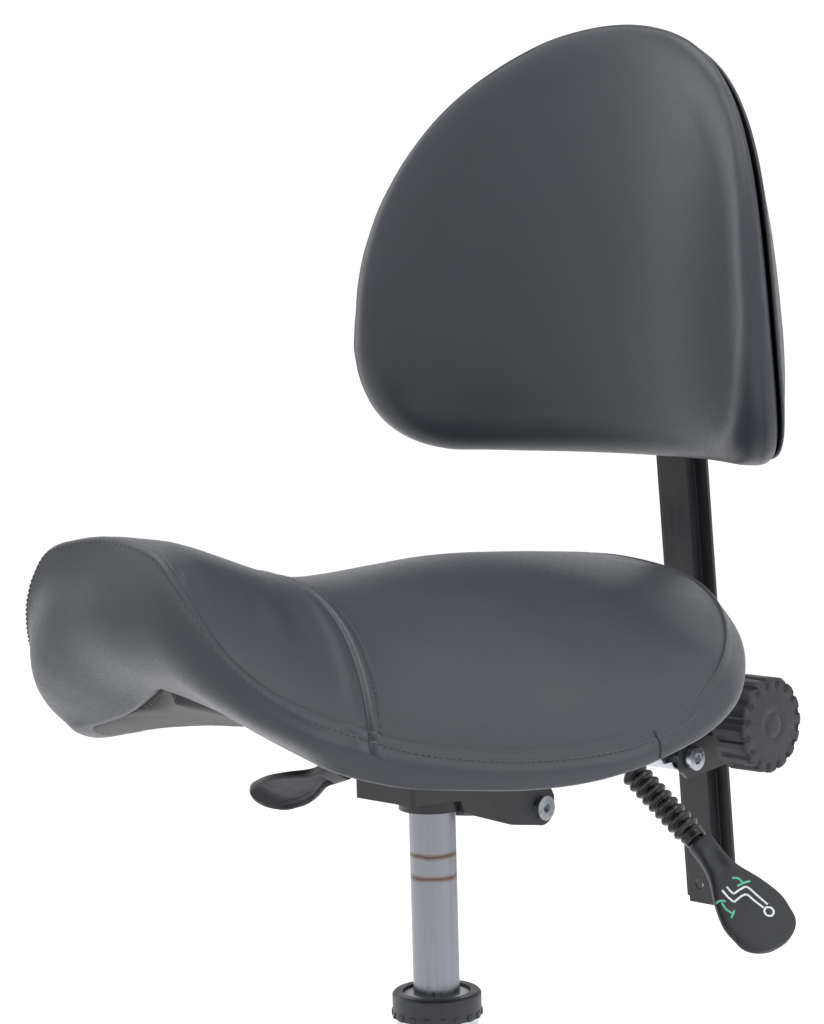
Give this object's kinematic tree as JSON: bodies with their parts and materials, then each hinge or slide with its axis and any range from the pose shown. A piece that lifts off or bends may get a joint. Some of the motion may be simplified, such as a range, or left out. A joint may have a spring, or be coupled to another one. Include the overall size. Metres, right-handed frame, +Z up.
{
  "type": "drum throne",
  "caption": "Saddle-shaped padded stool with a curved backrest on a clamped upright, tilting seat, gas lift column and five-star caster base.",
  "frame": {"origin": "on the floor under the axis of the column", "axes": "+Z up along the column, the sitter faces -Y, +X towards the left hand of the sitter"},
  "size_m": [0.5836, 0.5912, 0.9147],
  "materials": {
    "chromed_steel": "polished",
    "brushed_cylinder": "brushed",
    "zinc_steel": "zinc plated",
    "black_steel": "satin powder coat",
    "black_plastic": "fine moulded texture",
    "pale_plastic": "matte",
    "boot_rubber": "glossy",
    "leatherette": "fine grain, satin",
    "mesh_lining": "black mesh",
    "plywood": "bare moulded plywood",
    "wheel_nylon": "matte"
  },
  "bodies": {
    "base": {"five_star_base": "chromed_steel", "outer_tube": "chromed_steel", "guide_sleeve": "pale_plastic", "top_collar": "black_plastic", "bearing_lower_washer": "zinc_steel"},
    "ball_cage": {"bearing_cage": "zinc_steel"},
    "rod": {"piston_rod": "zinc_steel", "rod_clip": "zinc_steel", "bearing_upper_washer": "zinc_steel", "rod_buffer": "boot_rubber"},
    "lift": {"gas_cylinder": "brushed_cylinder", "mech_housing": "black_steel", "tilt_pivot_bolt": "zinc_steel", "height_lever_pin": "zinc_steel"},
    "release_pin": {"release_pin": "zinc_steel"},
    "height_lever": {"height_lever_rod": "black_steel", "height_paddle": "black_plastic"},
    "seat": {"seat_plate": "black_steel", "back_arm": "zinc_steel", "lever_bracket": "black_steel", "lever_pivot_pin": "zinc_steel", "bracket_bolt": "zinc_steel", "seat_bolts": "zinc_steel", "seat_board": "plywood", "seat_cushion": "leatherette", "seat_lining": "mesh_lining"},
    "tilt_lever": {"tilt_lever_rod": "black_steel", "tilt_boot": "boot_rubber", "tilt_paddle": "black_plastic"},
    "clamp": {"clamp_housing": "black_steel", "bar_guide": "black_plastic", "clamp_nut": "zinc_steel"},
    "knob": {"clamp_knob": "black_plastic", "knob_stud": "zinc_steel"},
    "back": {"back_upright": "black_steel", "backrest_mount": "black_steel", "backrest_screws": "zinc_steel", "backrest_shell": "black_plastic", "backrest_board": "plywood", "backrest_cushion": "leatherette"},
    "caster_1": {"caster_1_stem": "zinc_steel", "caster_1_hood": "black_plastic", "caster_1_axle": "zinc_steel"},
    "caster_1_wheel_pair": {"caster_1_wheels": "wheel_nylon"},
    "caster_2": {"caster_2_stem": "zinc_steel", "caster_2_hood": "black_plastic", "caster_2_axle": "zinc_steel"},
    "caster_2_wheel_pair": {"caster_2_wheels": "wheel_nylon"},
    "caster_3": {"caster_3_stem": "zinc_steel", "caster_3_hood": "black_plastic", "caster_3_axle": "zinc_steel"},
    "caster_3_wheel_pair": {"caster_3_wheels": "wheel_nylon"},
    "caster_4": {"caster_4_stem": "zinc_steel", "caster_4_hood": "black_plastic", "caster_4_axle": "zinc_steel"},
    "caster_4_wheel_pair": {"caster_4_wheels": "wheel_nylon"},
    "caster_5": {"caster_5_stem": "zinc_steel", "caster_5_hood": "black_plastic", "caster_5_axle": "zinc_steel"},
    "caster_5_wheel_pair": {"caster_5_wheels": "wheel_nylon"}
  },
  "joints": [
    {"name": "seat_swivel", "type": "hinge", "parent": "base", "child": "rod", "pos_m": [0, 0, 0.06], "axis": [0, 0, 1], "continuous": true},
    {"name": "ball_cage_turn", "type": "hinge", "parent": "base", "child": "ball_cage", "pos_m": [0, 0, 0.06], "axis": [0, 0, 1], "continuous": true},
    {"name": "seat_height", "type": "slide", "parent": "rod", "child": "lift", "axis": [0, 0, 1], "range_m": [-0.076, 0.124]},
    {"name": "height_lever_lift", "type": "hinge", "parent": "lift", "child": "height_lever", "pos_m": [-0.024, 0, 0.487], "axis": [0, 1, 0], "range_deg": [0, 7], "stiffness_Nm_per_rad": 3, "springref_deg": -11.46},
    {"name": "release_pin_press", "type": "slide", "parent": "lift", "child": "release_pin", "axis": [0, 0, -1], "range_m": [0, 0.0034]},
    {"name": "seat_tilt", "type": "hinge", "parent": "lift", "child": "seat", "pos_m": [0, 0.072, 0.442], "axis": [1, 0, 0], "range_deg": [-8, 5]},
    {"name": "tilt_lever_lift", "type": "hinge", "parent": "seat", "child": "tilt_lever", "pos_m": [0.028, 0.138, 0.465], "axis": [0, -1, 0], "range_deg": [0, 12], "stiffness_Nm_per_rad": 3, "springref_deg": -11.46},
    {"name": "back_angle", "type": "hinge", "parent": "seat", "child": "clamp", "pos_m": [0, 0.213, 0.451], "axis": [1, 0, 0], "range_deg": [-10, 5]},
    {"name": "knob_turn", "type": "hinge", "parent": "clamp", "child": "knob", "pos_m": [0, 0.236, 0.474], "axis": [1, 0, 0], "range_deg": [0, 360]},
    {"name": "back_height", "type": "slide", "parent": "clamp", "child": "back", "axis": [0, -0.0837, 0.9965], "range_m": [-0.05, 0.065]},
    {"name": "caster_1_swivel", "type": "hinge", "parent": "base", "child": "caster_1", "pos_m": [0, -0.28, 0.06], "axis": [0, 0, 1], "continuous": true},
    {"name": "caster_1_roll", "type": "hinge", "parent": "caster_1", "child": "caster_1_wheel_pair", "pos_m": [0.01732, -0.29, 0.025], "axis": [0.5, 0.866, 0], "continuous": true},
    {"name": "caster_2_swivel", "type": "hinge", "parent": "base", "child": "caster_2", "pos_m": [0.2663, -0.08653, 0.06], "axis": [0, 0, 1], "continuous": true},
    {"name": "caster_2_roll", "type": "hinge", "parent": "caster_2", "child": "caster_2_wheel_pair", "pos_m": [0.26908, -0.06672, 0.025], "axis": [-0.9903, 0.1392, 0], "continuous": true},
    {"name": "caster_3_swivel", "type": "hinge", "parent": "base", "child": "caster_3", "pos_m": [0.16458, 0.22653, 0.06], "axis": [0, 0, 1], "continuous": true},
    {"name": "caster_3_roll", "type": "hinge", "parent": "caster_3", "child": "caster_3_wheel_pair", "pos_m": [0.14517, 0.22169, 0.025], "axis": [0.2419, -0.9703, 0], "continuous": true},
    {"name": "caster_4_swivel", "type": "hinge", "parent": "base", "child": "caster_4", "pos_m": [-0.16458, 0.22653, 0.06], "axis": [0, 0, 1], "continuous": true},
    {"name": "caster_4_roll", "type": "hinge", "parent": "caster_4", "child": "caster_4_wheel_pair", "pos_m": [-0.15282, 0.21034, 0.025], "axis": [0.809, 0.5878, 0], "continuous": true},
    {"name": "caster_5_swivel", "type": "hinge", "parent": "base", "child": "caster_5", "pos_m": [-0.2663, -0.08653, 0.06], "axis": [0, 0, 1], "continuous": true},
    {"name": "caster_5_roll", "type": "hinge", "parent": "caster_5", "child": "caster_5_wheel_pair", "pos_m": [-0.2557, -0.06956, 0.025], "axis": [-0.848, 0.5299, 0], "continuous": true}
  ],
  "couplings": [
    {"joint": "ball_cage_turn", "follows": "seat_swivel", "ratio": 0.5},
    {"joint": "release_pin_press", "follows": "height_lever_lift", "m_per_rad": 0.0265}
  ]
}
